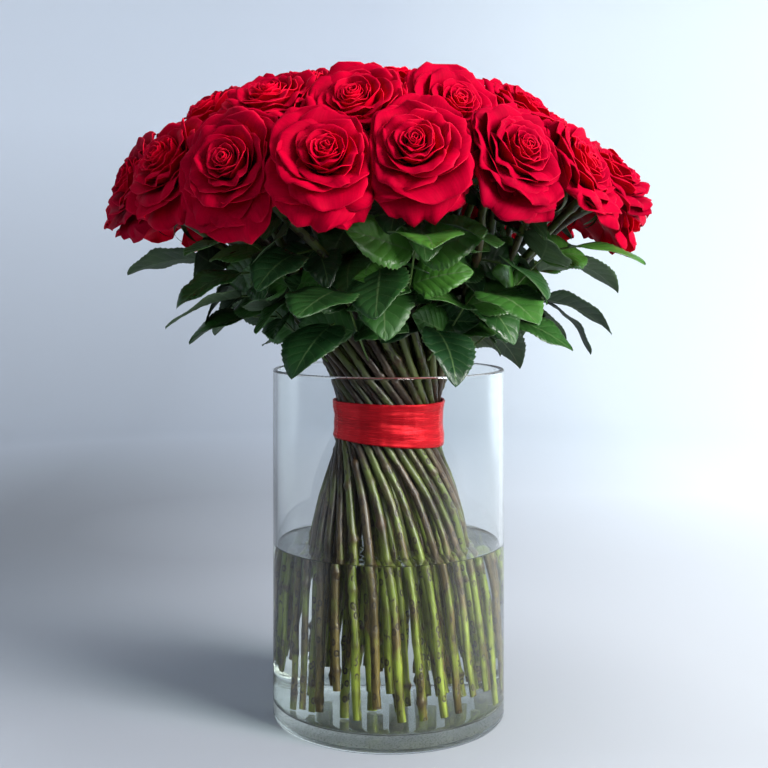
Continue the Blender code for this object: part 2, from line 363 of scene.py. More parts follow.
class Rose:
    """Where one rose is: its stem's bends, and its flower's place, direction and size."""

    def __init__(self, name):
        self.node = name
        self.number = name[-2:]
        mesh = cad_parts[name].data
        corners = np.unique(np.round([v.co[:] for v in mesh.vertices], 6), axis=0)
        bands = np.digitize(corners[:, 2], SECTION_LEVELS)
        bends = [corners[bands == band].mean(axis=0) for band in range(4)]
        rest = corners[bands == 4]
        rest = rest[np.argsort(np.linalg.norm(rest - bends[3], axis=1))]
        arch = rest[:SECTION_CORNERS].mean(axis=0)
        head = rest[SECTION_CORNERS:]
        middle = head.mean(axis=0)
        axis = np.linalg.svd(head - middle)[2][0]
        if axis @ (middle - arch) < 0.0:
            axis = -axis
        heights = (head - middle) @ axis
        aside = np.linalg.norm(head - middle - np.outer(heights, axis), axis=1)
        self.radius = aside.max()
        self.axis = Vector(axis)
        lowest = head[np.argsort(heights)[:SECTION_CORNERS]]
        self.base = Vector(lowest.mean(axis=0))
        self.middle = self.base + self.axis * (self.radius * HEAD_BASE_SHARE)
        self.bends = [Vector(point) for point in (*bends, arch)] + [self.base]


roses = [Rose(name) for name in sorted(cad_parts) if name.startswith("rose_")]
outer_roses = [rose for rose in roses if rose.bends[2].xy.length > OUTER_REACH]

# The stems: green wood, stripped of leaves and thorns below the collar. They are brighter green
# under water, browner above the tie, ringed at the joints and scarred where each thorn was.
STEM_RADIUS = 0.0041
STEM_AROUND = 12
STEM_STEP = 0.0034
STEM_CROOK = 0.0022  # how far a stem wanders off a smooth curve
CROOK_SEED = 1
TIE_HEIGHT = 0.32
TIE_REACH = 0.06
JOINT_SPACING = (0.040, 0.070)
JOINT_LENGTH = 0.0032
JOINT_SWELL = 0.12  # all round, as a share of the stem's radius
BUD_SWELL = 0.26  # on one side
HIP_RADIUS = 0.0078
HIP_LENGTH = 0.014
SEPAL_LENGTH = 0.030
SEPAL_WIDTH = 0.0042
# Each layer of filling stems: one inside every how many of the outer roses, from which rose on, and
# how much nearer the axis it stands.
FILLING_LAYERS = ((1, 0, 0.20), (2, 1, 0.54))
FILLING_NEARER = (0.75, 1.0, 1.0, 1.0, 0.9)  # how much of that at each bend
FILLING_TURN = (0.07, 0.13)
FILLING_SHORTER = 0.045


def smooth_path(points, last_direction, step):
    """Points a step apart along a curve through the bends, as a list."""
    tangents = [(points[1] - points[0]).normalized()]
    tangents += [(b - a).normalized() for a, b in zip(points, points[2:])]
    tangents.append(last_direction)
    path = [points[0]]
    for i, (start, end) in enumerate(zip(points, points[1:])):
        reach = (end - start).length
        bezier = (start, start + tangents[i] * reach / 3, end - tangents[i + 1] * reach / 3, end)
        path += geometry.interpolate_bezier(*bezier, max(int(reach / step), 1) + 1)[1:]
    return path


def path_frames(path):
    """At each point, two directions square to the path that don't twist along it."""
    side = Vector((0.0, 1.0, 0.0))
    frames = []
    for i, point in enumerate(path):
        along = (path[min(i + 1, len(path) - 1)] - path[max(i - 1, 0)]).normalized()
        side = (side - along * side.dot(along)).normalized()
        frames.append((point, side, along.cross(side)))
    return frames


def add_tube(shape, frames, around, radius_at):
    """A closed tube along the frames. Its UV runs round it, and along it in shares of its rows."""
    rows = len(frames) - 1
    made = bmesh.ops.create_grid(shape, x_segments=around, y_segments=rows, size=1.0, calc_uvs=True)
    verts = made["verts"]
    for vert in verts:
        row = round((vert.co.y + 1.0) / 2.0 * rows)
        angle = (vert.co.x + 1.0) * math.pi
        point, side, other = frames[row]
        spoke = side * math.cos(angle) + other * math.sin(angle)
        vert.co = point + spoke * radius_at(row, angle)
    faces = {face for vert in verts for face in vert.link_faces}
    bmesh.ops.remove_doubles(shape, verts=verts, dist=0.000001)
    edges = {edge for face in faces for edge in face.edges}
    ends = bmesh.ops.holes_fill(shape, edges=list(edges), sides=0)["faces"]
    return list(faces), ends


def stem_materials():
    bark, tree, shader = new_material("stem_bark", Roughness=0.35, Specular_IOR_Level=0.55)
    place = node(tree, "TexCoord").outputs["Object"]
    height = node(tree, "SeparateXYZ", {0: place}).outputs[2]
    wander = noise_at(tree, place, 14.0, 2.0)
    level = maths(tree, "MULTIPLY_ADD", wander, 0.10, height)
    green = ramp(
        tree,
        level,
        (0.12, (0.205, 0.250, 0.020)),
        (0.27, (0.105, 0.145, 0.020)),
        (0.38, (0.060, 0.070, 0.020)),
        (0.60, (0.070, 0.120, 0.020)),
    )
    brown = ramp(
        tree,
        level,
        (0.12, (0.135, 0.095, 0.020)),
        (0.27, (0.065, 0.045, 0.020)),
        (0.38, (0.046, 0.026, 0.020)),
        (0.60, (0.060, 0.060, 0.020)),
    )
    along = node(tree, "UVMap", uv_map="stem").outputs[0]
    streak_place = scaled(tree, along, 160.0, 18.0)
    streaks = noise_at(tree, streak_place, 1.0, 6.0)
    blotch_place = scaled(tree, along, 50.0, 26.0)
    blotches = noise_at(tree, blotch_place, 1.0, 3.0)
    age = node(tree, "Attribute", attribute_name="age").outputs["Fac"]
    share = map_range(tree, maths(tree, "ADD", blotches, age), (0.52, 0.68))
    skin = mixed(tree, share, green, brown)
    streaked = ramp(tree, streaks, (0.38, (0.30, 0.26, 0.20)), (0.62, (1.35, 1.32, 1.15)))
    skin = mixed(tree, 0.85, skin, streaked, "MULTIPLY")
    cells = {"Vector": scaled(tree, along, 112.0, 76.0), "Scale": 1.0}
    scars = node(tree, "TexVoronoi", cells, voronoi_dimensions="2D").outputs[0]
    scar = ramp(
        tree,
        scars,
        (0.07, (0.35, 0.35, 0.35)),
        (0.12, (0.35, 0.35, 0.35)),
        (0.16, (1.0, 1.0, 1.0)),
        (0.25, (1.0, 1.0, 1.0)),
        (0.30, (0.0, 0.0, 0.0)),
    )
    kept = map_range(tree, blotches, (0.42, 0.48))
    scar = maths(tree, "MULTIPLY", scar, kept)
    skin = mixed(tree, scar, skin, (0.022, 0.010, 0.006))
    joint = node(tree, "Attribute", attribute_name="joint").outputs["Fac"]
    skin = mixed(tree, maths(tree, "MULTIPLY", joint, 0.7), skin, (0.055, 0.030, 0.012))
    tree.links.new(skin, shader.inputs["Base Color"])
    rough = map_range(tree, streaks, (0.3, 0.7), (0.24, 0.50))
    tree.links.new(rough, shader.inputs["Roughness"])
    sunk = maths(tree, "MULTIPLY_ADD", scar, -1.2, streaks)
    bump(tree, shader, sunk, 0.5, 0.0004)
    pith, tree, shader = new_material("cut_pith", Roughness=0.7)
    place = node(tree, "TexCoord").outputs["Object"]
    grain = noise_at(tree, place, 900.0, 3.0)
    pale = ramp(tree, grain, (0.3, (0.38, 0.36, 0.16)), (0.7, (0.62, 0.60, 0.34)))
    tree.links.new(pale, shader.inputs["Base Color"])
    return bark, pith


def add_sepals(shape, rose, side, other, rng):
    """Five narrow green sepals, bent back under the flower."""
    first = rng.uniform(0.0, math.tau)
    for petal in range(5):
        angle = first + math.tau * petal / 5
        out = side * math.cos(angle) + other * math.sin(angle)
        across = rose.axis.cross(out)
        length = SEPAL_LENGTH * rng.uniform(0.8, 1.1)
        made = bmesh.ops.create_grid(shape, x_segments=2, y_segments=8, size=1.0, calc_uvs=True)
        for vert in made["verts"]:
            share = (vert.co.y + 1.0) / 2.0
            lean = math.radians(70.0 + 75.0 * share)
            width = SEPAL_WIDTH * (1.0 - share) ** 0.7 + 0.0003
            reach = out * math.sin(lean) + rose.axis * math.cos(lean)
            place = rose.base + out * HIP_RADIUS * 0.75 + reach * length * share
            vert.co = place + across * vert.co.x * width - rose.axis * abs(vert.co.x) * width * 0.3


def add_stem(shape, rng, bends, last_direction, thickness, hip_radius):
    """One stem with its joints, on a bmesh that has the stem UV, joint and age layers."""
    uv = shape.loops.layers.uv["stem"]
    joint_layer = shape.verts.layers.float["joint"]
    age_layer = shape.verts.layers.float["age"]
    path = smooth_path(bends, last_direction, STEM_STEP)
    lengths = np.cumsum([0.0] + [(b - a).length for a, b in zip(path, path[1:])])
    whole = lengths[-1]
    offset = rng.uniform(0.0, 10.0)
    for i, length in enumerate(lengths):
        loose = min(abs(path[i].z - TIE_HEIGHT) / TIE_REACH, (whole - length) / TIE_REACH, 1.0)
        wander = noise.noise_vector(Vector((offset, length * 17.0, 0.0))) * (STEM_CROOK * loose)
        path[i] = path[i] + Vector((wander.x, wander.y, 0.0))
    frames = path_frames(path)
    joints = [rng.uniform(0.008, 0.03)]
    while joints[-1] < whole:
        joints.append(joints[-1] + rng.uniform(*JOINT_SPACING))
    joints = np.array(joints)
    turns = np.array([rng.uniform(0.0, math.tau) for _ in joints])
    sizes = np.array([rng.choice((0.3, 0.6, 0.9, 1.5)) for _ in joints])
    age = rng.uniform(-0.08, 0.24)
    nearness = np.exp(-(((lengths[:, None] - joints) / JOINT_LENGTH) ** 2)) * sizes

    def radius_at(row, angle):
        bud = BUD_SWELL * np.maximum(np.cos(angle - turns), 0.0)
        swell = (nearness[row] * (JOINT_SWELL + bud)).sum()
        hip = math.exp(-(((whole - lengths[row]) / HIP_LENGTH) ** 2)) * (hip_radius - thickness)
        wobble = 0.04 * math.sin(lengths[row] * 90.0 + offset + math.cos(angle))
        return thickness * (1.0 + swell + wobble) + hip

    sides, ends = add_tube(shape, frames, STEM_AROUND, radius_at)
    for face in sides:
        for loop in face.loops:
            u, v = loop[uv].uv
            row = round(v * (len(path) - 1))
            loop[uv].uv = (u * math.tau * STEM_RADIUS + offset, lengths[row] + offset)
            loop.vert[joint_layer] = nearness[row].max()
            loop.vert[age_layer] = age
    for face in ends:
        face.material_index = 1
    bmesh.ops.recalc_face_normals(shape, faces=sides + ends)
    return frames[-1]


def new_stem_shape():
    shape = bmesh.new()
    shape.loops.layers.uv.new("stem")
    shape.verts.layers.float.new("joint")
    shape.verts.layers.float.new("age")
    return shape


def build_stems():
    noise.seed_set(CROOK_SEED)  # else noise_vector takes its offsets from the clock
    bark, pith = stem_materials()
    for index, rose in enumerate(roses):
        rng = random.Random(100 + index)
        shape = new_stem_shape()
        thickness = STEM_RADIUS * rng.uniform(0.92, 1.06)
        last = add_stem(shape, rng, rose.bends, rose.axis, thickness, HIP_RADIUS)
        add_sepals(shape, rose, last[1], last[2], rng)
        stem = to_object(f"stem_{rose.number}", shape, bark, pith)
        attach(stem, "root")
        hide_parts(rose.node)
    for layer, (every, first, share) in enumerate(FILLING_LAYERS, start=1):
        rng = random.Random(76 + layer)
        shape = new_stem_shape()
        inward = [1.0 - share * closer for closer in FILLING_NEARER]
        for rose in outer_roses[first::every]:
            turn = Matrix.Rotation(rng.uniform(*FILLING_TURN), 3, "Z")
            bends = []
            for bend, nearer in zip(rose.bends[:5], inward):
                bends.append(turn @ Vector((bend.x * nearer, bend.y * nearer, bend.z)))
            bends[0].z += rng.uniform(0.0, FILLING_SHORTER)
            thickness = STEM_RADIUS * rng.uniform(0.85, 1.0)
            add_stem(shape, rng, bends, (bends[4] - bends[3]).normalized(), thickness, thickness)
        filling = to_object(f"filling_stems_{layer}", shape, bark, pith)
        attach(filling, "root")
        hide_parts(*[rose.node for rose in outer_roses[first::every]])


build_stems()

# The water: it fills the lower half of the vase round the stems, and climbs a little where it
# meets the glass and each stem.
WATER_OVERLAP = 0.0003  # how far it runs into the glass, so that no air shows between them
WATER_GAP = 0.0003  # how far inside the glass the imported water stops
WATER_IOR = 1.333
MENISCUS_HEIGHT = 0.0020
MENISCUS_REACH = 0.0035
MENISCUS_STEP = 0.0007
STEM_CLIMB = 0.0013
CLIMB_REACH = 0.0022
RIPPLE_HEIGHT = 0.00035
RIPPLES_PER_METRE = 28.0
SURFACE_STEP = 0.0026


def build_water():
    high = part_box("water")[1]
    reach = high.x + WATER_GAP + WATER_OVERLAP
    floor = GLASS_BASE - WATER_OVERLAP
    middle = (reach - GLASS_CORNER, floor + GLASS_CORNER)
    outline = [(0.0, floor), (reach - GLASS_CORNER, floor)]
    outline += arc(middle, GLASS_CORNER, -math.pi / 2, 0.0, ROUNDING_STEPS)[1:]
    outline.append((reach, floor + GLASS_CORNER + GLASS_HOLD))
    distance = 0.0
    while distance < MENISCUS_REACH * 2.5:
        climb = MENISCUS_HEIGHT * math.exp(-distance / MENISCUS_REACH * 2.0)
        outline.append((reach - distance, high.z + climb))
        distance += MENISCUS_STEP
    while reach - distance > SURFACE_STEP:
        outline.append((reach - distance, high.z))
        distance += SURFACE_STEP
    shape = turned(outline + [(0.0, high.z)], GLASS_SIDES)
    crossings = []
    for rose in roses:
        foot, bend = rose.bends[:2]
        share = (high.z - foot.z) / (bend.z - foot.z)
        crossings.append(foot.lerp(bend, share)[:2])
    crossings = np.array(crossings)
    for vert in shape.verts:
        if vert.co.z > high.z - 0.0001:
            gap = ((crossings - np.array(vert.co.xy)) ** 2).sum(axis=1).min() ** 0.5
            ripple = RIPPLE_HEIGHT * noise.noise(vert.co * RIPPLES_PER_METRE)
            climb = STEM_CLIMB * math.exp(-max(gap - STEM_RADIUS, 0.0) / CLIMB_REACH)
            vert.co.z += climb + ripple
    water, tree, shader = clear_material("vase_water", (0.93, 0.96, 0.925), WATER_IOR)
    place = node(tree, "TexCoord").outputs["Object"]
    drift = noise_at(tree, place, 40.0, 4.0)
    cloud = map_range(tree, drift, (0.5, 0.9), (0.0, 0.04))
    tree.links.new(cloud, shader.inputs["Roughness"])
    bump(tree, shader, drift, 0.05, 0.001)
    body = to_object("vase_water", shape, water)
    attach(body, "root")
    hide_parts("water")


build_water()

# The ribbon: a length of crimson satin wound twice round the waist of the bundle and tucked in at
# the end. It is pulled tight, so the stems show through as soft ribs and it creases lengthwise.
RIBBON_WIDTH = 0.046
RIBBON_SPAN = 0.0395  # its height as wound, a little gathered
RIBBON_LOW = 0.2998
RIBBON_SLANT = 0.0085  # how far the outer turn drops at the right
RIBBON_TURNS = 2.06
RIBBON_ALONG = 300
RIBBON_ACROSS = 22
RIBBON_LAYER = 0.0007
RIBBON_THICKNESS = 0.0003
RIBBON_START = math.radians(-28)
SLANT_START = 0.7  # the turn after which the ribbon drops, and over how much of a turn
SLANT_REACH = 0.5
RIB_HEIGHT = 0.0004  # over each stem
RIB_REACH = 0.065  # radians
FOLD_HEIGHT = 0.00035
CREASE_HEIGHT = 0.0007
TUCK_TURN = 2.0
TUCK_HEIGHT = 0.0010  # where its end is tucked in
TUCK_REACH = 0.03


def ease(share):
    share = min(max(share, 0.0), 1.0)
    return share * share * (3.0 - 2.0 * share)


def build_ribbon():
    satin, tree, shader = new_material(
        "crimson_satin",
        Metallic=0.55,
        Roughness=0.24,
        Anisotropic=0.6,
        Specular_IOR_Level=1.0,
        Specular_Tint=(1.0, 0.40, 0.36, 1.0),
    )
    along = node(tree, "UVMap", uv_map="ribbon").outputs[0]
    thread_place = scaled(tree, along, 40.0, 2600.0)
    threads = noise_at(tree, thread_place, 1.0, 2.0)
    crease_place = scaled(tree, along, 9.0, 150.0)
    creases = noise_at(tree, crease_place, 1.0, 4.0)
    dyed = ramp(tree, threads, (0.3, (0.56, 0.004, 0.012)), (0.7, (0.82, 0.010, 0.024)))
    # Painted shade: the valleys of the creases are painted darker.
    painted_crease_shade = ramp(tree, creases, (0.30, (0.62, 0.55, 0.60)), (0.55, (1.0, 1.0, 1.0)))
    tree.links.new(mixed(tree, 0.7, dyed, painted_crease_shade, "MULTIPLY"), shader.inputs["Base Color"])
    shine = map_range(tree, threads, (0.3, 0.7), (0.19, 0.29))
    tree.links.new(shine, shader.inputs["Roughness"])
    height = maths(tree, "MULTIPLY_ADD", creases, 2.2, maths(tree, "MULTIPLY", threads, 0.25))
    bump(tree, shader, height, 0.55, 0.0012)
    outer = {}
    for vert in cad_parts["ribbon"].data.vertices:
        level = round(vert.co.z, 4)
        outer[level] = max(outer.get(level, 0.0), math.hypot(vert.co.x, vert.co.y))
    levels = sorted(outer)
    ties = [math.atan2(rose.bends[2].y, rose.bends[2].x) for rose in outer_roses]
    shape = bmesh.new()
    uv = shape.loops.layers.uv.new("ribbon")
    made = bmesh.ops.create_grid(
        shape, x_segments=RIBBON_ALONG, y_segments=RIBBON_ACROSS, size=1.0, calc_uvs=True
    )
    for vert in made["verts"]:
        share = (vert.co.x + 1.0) / 2.0
        across = (vert.co.y + 1.0) / 2.0
        turn = share * RIBBON_TURNS
        angle = RIBBON_START + turn * math.tau
        rightward = 0.5 + 0.5 * math.cos(angle)
        dropped = RIBBON_SLANT * ease((turn - SLANT_START) / SLANT_REACH) * (1.0 - across)
        slant = -dropped * rightward
        height = RIBBON_LOW + RIBBON_SPAN * across + slant + 0.0006 * math.sin(angle * 2.0)
        radius = float(np.interp(height, levels, [outer[level] for level in levels]))
        over = [(angle - tie + math.pi) % math.tau - math.pi for tie in ties]
        ribs = max(math.exp(-((gap / RIB_REACH) ** 2)) for gap in over)
        fold = math.sin(math.tau * (across * 2.6 + 0.35 * math.sin(angle * 1.7) + 0.2 * turn))
        round_about = (math.cos(angle) * 2.0, math.sin(angle) * 2.0)
        fine = noise.noise(Vector((*round_about, across * 16.0 + turn)))
        tuck = math.exp(-((turn - TUCK_TURN) / TUCK_REACH) ** 2)
        radius += RIB_HEIGHT * ribs + FOLD_HEIGHT * fold + CREASE_HEIGHT * fine
        radius += RIBBON_LAYER * min(turn, 1.9) + TUCK_HEIGHT * tuck
        vert.co = (radius * math.cos(angle), radius * math.sin(angle), height)
    length = RIBBON_TURNS * math.tau * outer[levels[1]]
    for face in shape.faces:
        for loop in face.loops:
            u, v = loop[uv].uv
            loop[uv].uv = (u * length, v * RIBBON_WIDTH)
    ribbon = to_object("ribbon_satin", shape, satin)
    skin = ribbon.modifiers.new("thickness", "SOLIDIFY")
    skin.thickness = RIBBON_THICKNESS
    skin.offset = 1.0
    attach(ribbon, "root")
    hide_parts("ribbon")


build_ribbon()

# The leaves: rose leaves of three or five leaflets on thin stalks, gathered under the flowers as a
# collar. They are dark and glossy above, pale and matt below, with a keeled midrib, side veins that
# quilt the blade, and a saw-toothed edge.
LEAFLET_ROWS = 42
LEAFLET_CELLS = 6
LEAFLET_TEETH = 14
TOOTH_DEPTH = 0.11
EDGE_WAVE = 0.0016
QUILT_HEIGHT = 0.0007
MAIN_LEAFLET = 0.076  # length
INNER_LEAFLET = 0.070
MAIN_PAIRS = (0.42, 0.74)  # where the side leaflets stand, as shares of the stalk
INNER_PAIRS = (0.72,)
MAIN_HANG = 0.16
INNER_HANG = 0.20
INNER_SINK = 0.45  # how much further in a leaf lies for each metre it is higher
STALK_STEP = 0.008
STALK_SIDES = 6
STALK_SLOT = 2  # the material after the two sides of the blade
LEAF_THICKNESS = 0.0004
LEAF_VEINS = 7.0
VEIN_SWEEP = 1.6
STALK_RADIUS = 0.0011
DOME_TIP = math.radians(4.5)  # the collar and the dome are tipped back, with the front edge higher
TIP_HEIGHT = 0.450
# Each inner leaf's turn and rise from the root of the main leaf.
INNER_LEAVES = ((-0.24, 0.015), (0.22, 0.045), (0.0, 0.080), (-0.12, 0.115))


def leaf_finish(name, deep, bright, vein, edge, roughness, specular):
    made, tree, shader = new_material(name, Roughness=roughness, Specular_IOR_Level=specular)
    along = node(tree, "UVMap", uv_map="leaf").outputs[0]
    u, v = node(tree, "SeparateXYZ", {0: along}).outputs[:2]
    across = maths(tree, "ABSOLUTE", maths(tree, "MULTIPLY_ADD", u, 2.0, -1.0))
    tone = node(tree, "Attribute", attribute_name="tone").outputs["Fac"]
    place = node(tree, "TexCoord").outputs["Object"]
    patch = noise_at(tree, place, 45.0, 4.0)
    blade = mixed(tree, tone, deep, bright)
    shade = ramp(tree, patch, (0.3, (0.65, 0.68, 0.70)), (0.7, (1.25, 1.2, 1.1)))
    blade = mixed(tree, 0.8, blade, shade, "MULTIPLY")
    sweep = maths(tree, "MULTIPLY_ADD", v, LEAF_VEINS, maths(tree, "MULTIPLY", across, -VEIN_SWEEP))
    wave = maths(tree, "ABSOLUTE", maths(tree, "SINE", maths(tree, "MULTIPLY", sweep, math.pi)))
    side_vein = map_range(tree, wave, (0.0, 0.16), (0.45, 0.0))
    midrib = map_range(tree, across, (0.012, 0.055), (0.9, 0.0))
    rim = map_range(tree, across, (0.955, 1.0), (0.0, 0.35))
    blade = mixed(tree, maths(tree, "MAXIMUM", side_vein, midrib), blade, vein)
    blade = mixed(tree, rim, blade, edge)
    # Painted shade: the highest leaves, just under the flowers, are painted darker.
    rise = node(tree, "SeparateXYZ", {0: place}).outputs[2]
    painted_shade_under_flowers = map_range(tree, rise, (0.475, 0.535), (1.0, 0.42))
    blade = node(tree, "VectorMath", {0: blade, "Scale": painted_shade_under_flowers}, operation="SCALE").outputs[0]
    tree.links.new(blade, shader.inputs["Base Color"])
    gloss = map_range(tree, patch, (0.3, 0.7), (roughness - 0.08, roughness + 0.12))
    tree.links.new(gloss, shader.inputs["Roughness"])
    small = node(tree, "TexVoronoi", {"Vector": along, "Scale": 34.0}).outputs[0]
    height = maths(tree, "MULTIPLY_ADD", small, 0.35, wave)
    bump(tree, shader, height, 0.45, 0.0009)
    glow = node(tree, "BsdfTranslucent", {0: blade}).outputs[0]
    both = node(tree, "MixShader", {0: 0.12, 1: shader.outputs[0], 2: glow}).outputs[0]
    tree.links.new(both, tree.nodes["Material Output"].inputs["Surface"])
    return made


def leaf_materials():
    top = leaf_finish(
        "leaf_upper_side",
        (0.012, 0.055, 0.016),
        (0.070, 0.235, 0.028),
        (0.11, 0.20, 0.07),
        (0.16, 0.24, 0.10),
        0.34,
        0.5,
    )
    under = leaf_finish(
        "leaf_under_side",
        (0.055, 0.095, 0.060),
        (0.10, 0.17, 0.075),
        (0.17, 0.24, 0.13),
        (0.17, 0.22, 0.12),
        0.6,
        0.3,
    )
    stalk, tree, shader = new_material("leaf_stalk", Roughness=0.5)
    place = node(tree, "TexCoord").outputs["Object"]
    grain = noise_at(tree, place, 120.0, 3.0)
    green = ramp(tree, grain, (0.3, (0.05, 0.10, 0.02)), (0.7, (0.09, 0.16, 0.035)))
    tree.links.new(green, shader.inputs["Base Color"])
    bump(tree, shader, grain, 0.3, 0.0003)
    return top, under, stalk


def add_leaflet(shape, tone_layer, rng, base, along, length, tone, roll):
    """One leaflet from its base, pointing along, its upper side as near up as it can be."""
    up = Vector((0.0, 0.0, 0.65)) + Vector((base.x, base.y, 0.0)).normalized() * 0.75
    up = (up - along * up.dot(along)).normalized()
    up = Matrix.Rotation(roll, 3, along) @ up
    across = along.cross(up)
    width = length * rng.uniform(0.64, 0.76)
    droop = rng.uniform(0.25, 0.85)
    keel = rng.uniform(0.10, 0.30)
    waves = rng.uniform(1.2, 2.4)
    phase = rng.uniform(0.0, math.tau)
    swing = rng.uniform(-0.12, 0.12)
    made = bmesh.ops.create_grid(
        shape, x_segments=LEAFLET_CELLS, y_segments=LEAFLET_ROWS, size=1.0, calc_uvs=True
    )
    for vert in made["verts"]:
        u = vert.co.x
        v = (vert.co.y + 1.0) / 2.0
        half = 0.5 * width * (math.sin(math.pi * v**0.78) ** 0.68) * (1.0 - 0.18 * v**4) + 0.0004
        tooth = 1.0 - (v * LEAFLET_TEETH) % 1.0
        aside = abs(u)
        if aside > 0.99:
            half *= 1.0 + TOOTH_DEPTH * tooth
        bend = droop * v
        reach = length * math.sin(bend) / droop
        fall = length * (1.0 - math.cos(bend)) / droop
        x = u * half + swing * length * v * v
        lift = aside * half * keel - (aside * half) ** 2 * 9.0 * keel
        lift += EDGE_WAVE * math.sin(math.tau * waves * v + phase + u) * aside**2
        ridge = abs(math.sin(math.pi * (v * LEAF_VEINS - aside * VEIN_SWEEP)))
        lift += QUILT_HEIGHT * ridge * (1.0 - aside**4) * math.sin(math.pi * v)
        vert.co = base + across * x + along * reach + up * (lift - fall)
        vert[tone_layer] = tone


def add_compound_leaf(shape, tone_layer, rng, path, pairs, length, tone, hang):
    """A stalk along a path, with pairs of leaflets and one at its end."""
    frames = path_frames(path)
    for pair, share in enumerate(pairs):
        row = int(share * (len(path) - 1))
        place = path[row]
        along = (path[min(row + 1, len(path) - 1)] - path[row - 1]).normalized()
        aside = along.cross(Vector((0.0, 0.0, 1.0))).normalized()
        for sign in (-1.0, 1.0):
            spread = rng.uniform(0.75, 1.15)
            direction = along * math.cos(spread) + aside * (sign * math.sin(spread))
            direction.z -= hang * rng.uniform(0.2, 1.4)
            size = length * rng.uniform(0.80, 1.0) * (0.86 + 0.14 * pair)
            shade = min(max(tone + rng.uniform(-0.15, 0.15), 0.0), 1.0)
            roll = rng.uniform(-0.8, 0.8)
            direction.normalize()
            start = place + direction * 0.003
            add_leaflet(shape, tone_layer, rng, start, direction, size, shade, roll)
    along = (path[-1] - path[-2]).normalized()
    along.z -= hang * 0.5
    size = length * rng.uniform(1.0, 1.15)
    roll = rng.uniform(-0.3, 0.3)
    add_leaflet(shape, tone_layer, rng, path[-1], along.normalized(), size, tone, roll)
    sides, ends = add_tube(shape, frames, STALK_SIDES, lambda row, angle: STALK_RADIUS)
    for face in sides + ends:
        face.material_index = STALK_SLOT


def spray_path(name):
    """The middle line of a packed leaf spray, from its stalk to its tip."""
    middle = Matrix.Translation((0.0, 0.0, TIP_HEIGHT))
    tip = middle @ Matrix.Rotation(-DOME_TIP, 4, "X") @ middle.inverted()
    corners = [tip.inverted() @ vert.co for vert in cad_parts[name].data.vertices]
    corners = np.unique(np.round(corners, 6), axis=0)
    out = unit(corners[:, :2].mean(axis=0))
    aside = np.abs(corners[:, :2] @ np.array((-out[1], out[0])))
    corners = corners[aside < 0.0004]
    reach = corners[:, :2] @ out
    corners = corners[np.argsort(reach)]
    parted = np.nonzero(np.diff(np.sort(reach)) > 0.001)[0] + 1
    line = [tip @ Vector(section.mean(axis=0)) for section in np.split(corners, parted)]
    return line, Vector((*out, 0.0))


def build_leaves():
    finishes = leaf_materials()
    names = sorted(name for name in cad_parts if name.startswith("leaf_spray_"))
    for index, name in enumerate(names):
        rng = random.Random(900 + index)
        line, out = spray_path(name)
        up = Vector((0.0, 0.0, 1.0))
        shape = bmesh.new()
        shape.loops.layers.uv.new("leaf")
        tone_layer = shape.verts.layers.float.new("tone")
        root = line[0] - out * 0.035 - up * 0.030
        bends = [root, line[0], line[4], line[7]]
        main = smooth_path(bends, (line[8] - line[6]).normalized(), STALK_STEP)
        tone = rng.uniform(0.1, 0.9)
        leaf = (main, MAIN_PAIRS, MAIN_LEAFLET, tone, MAIN_HANG)
        add_compound_leaf(shape, tone_layer, rng, *leaf)
        for shift, lift in INNER_LEAVES:
            turn = Matrix.Rotation(shift + rng.uniform(-0.06, 0.06), 3, "Z")
            lift += rng.uniform(-0.012, 0.012)
            start = turn @ (line[0] - out * 0.075 + up * (lift - 0.02))
            sink = INNER_SINK * lift
            middle = turn @ (line[0] - out * (0.020 + sink) + up * (lift + 0.01))
            reach = rng.uniform(0.015, 0.05) - sink
            tip = turn @ (line[0] + out * reach + up * (lift + rng.uniform(-0.01, 0.015)))
            path = smooth_path([start, middle, tip], (tip - middle).normalized(), STALK_STEP)
            tone = rng.uniform(0.0, 0.4)
            leaf = (path, INNER_PAIRS, INNER_LEAFLET, tone, INNER_HANG)
            add_compound_leaf(shape, tone_layer, rng, *leaf)
        stalks = [face for face in shape.faces if face.material_index == STALK_SLOT]
        bmesh.ops.recalc_face_normals(shape, faces=stalks)
        spray = to_object(f"leaves_{name[-2:]}", shape, *finishes)
        blade = spray.modifiers.new("thickness", "SOLIDIFY")
        blade.thickness = LEAF_THICKNESS
        blade.offset = -1.0
        blade.material_offset = 1
        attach(spray, "root")
        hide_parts(name)


build_leaves()

# The flowers: full garden-type heads of crimson petals. The heart is a tight spiral, and each turn
# out opens wider, until the outer petals bend right back and their edges roll under.
WHORLS = ((14, 0.0, 0.30), (11, 0.34, 0.64), (10, 0.70, 1.0))  # petals, and the ages they span
PETAL_CELLS = 12
PETAL_THICKNESS = 0.0005
SIZE_PER_RADIUS = 29.5
GOLDEN_TURN = math.radians(137.5)
PROFILE_STEPS = 20
PRESS_REACH = 0.125  # heads whose middles are nearer than this press on each other
PRESS_START = 0.74
PRESS_SHARE = 0.52  # how far towards the next head's middle a petal may reach
HEAD_NOD = 0.22
# For the innermost petal and for the outermost one: sizes in metres and leans in degrees.
PETAL_LENGTHS = (0.0225, 0.0475)
PETAL_WIDTHS = (0.027, 0.066)
BASE_LEANS = (30.0, 80.0)
MIDDLE_LEANS = (-14.0, 80.0)
TIP_LEANS = (-30.0, 175.0)
PETAL_WRAPS = (1.05, 0.60)
PETAL_RUFFLES = (0.0004, 0.0048)
EDGE_ROLLS = (0.0, 0.0075)
ROLL_STARTS = (0.72, 0.60)
ROOT_RADII = (0.0012, 0.0075)
ROOT_RISES = (0.013, 0.0)


def blend(first, last, share):
    return first + (last - first) * share


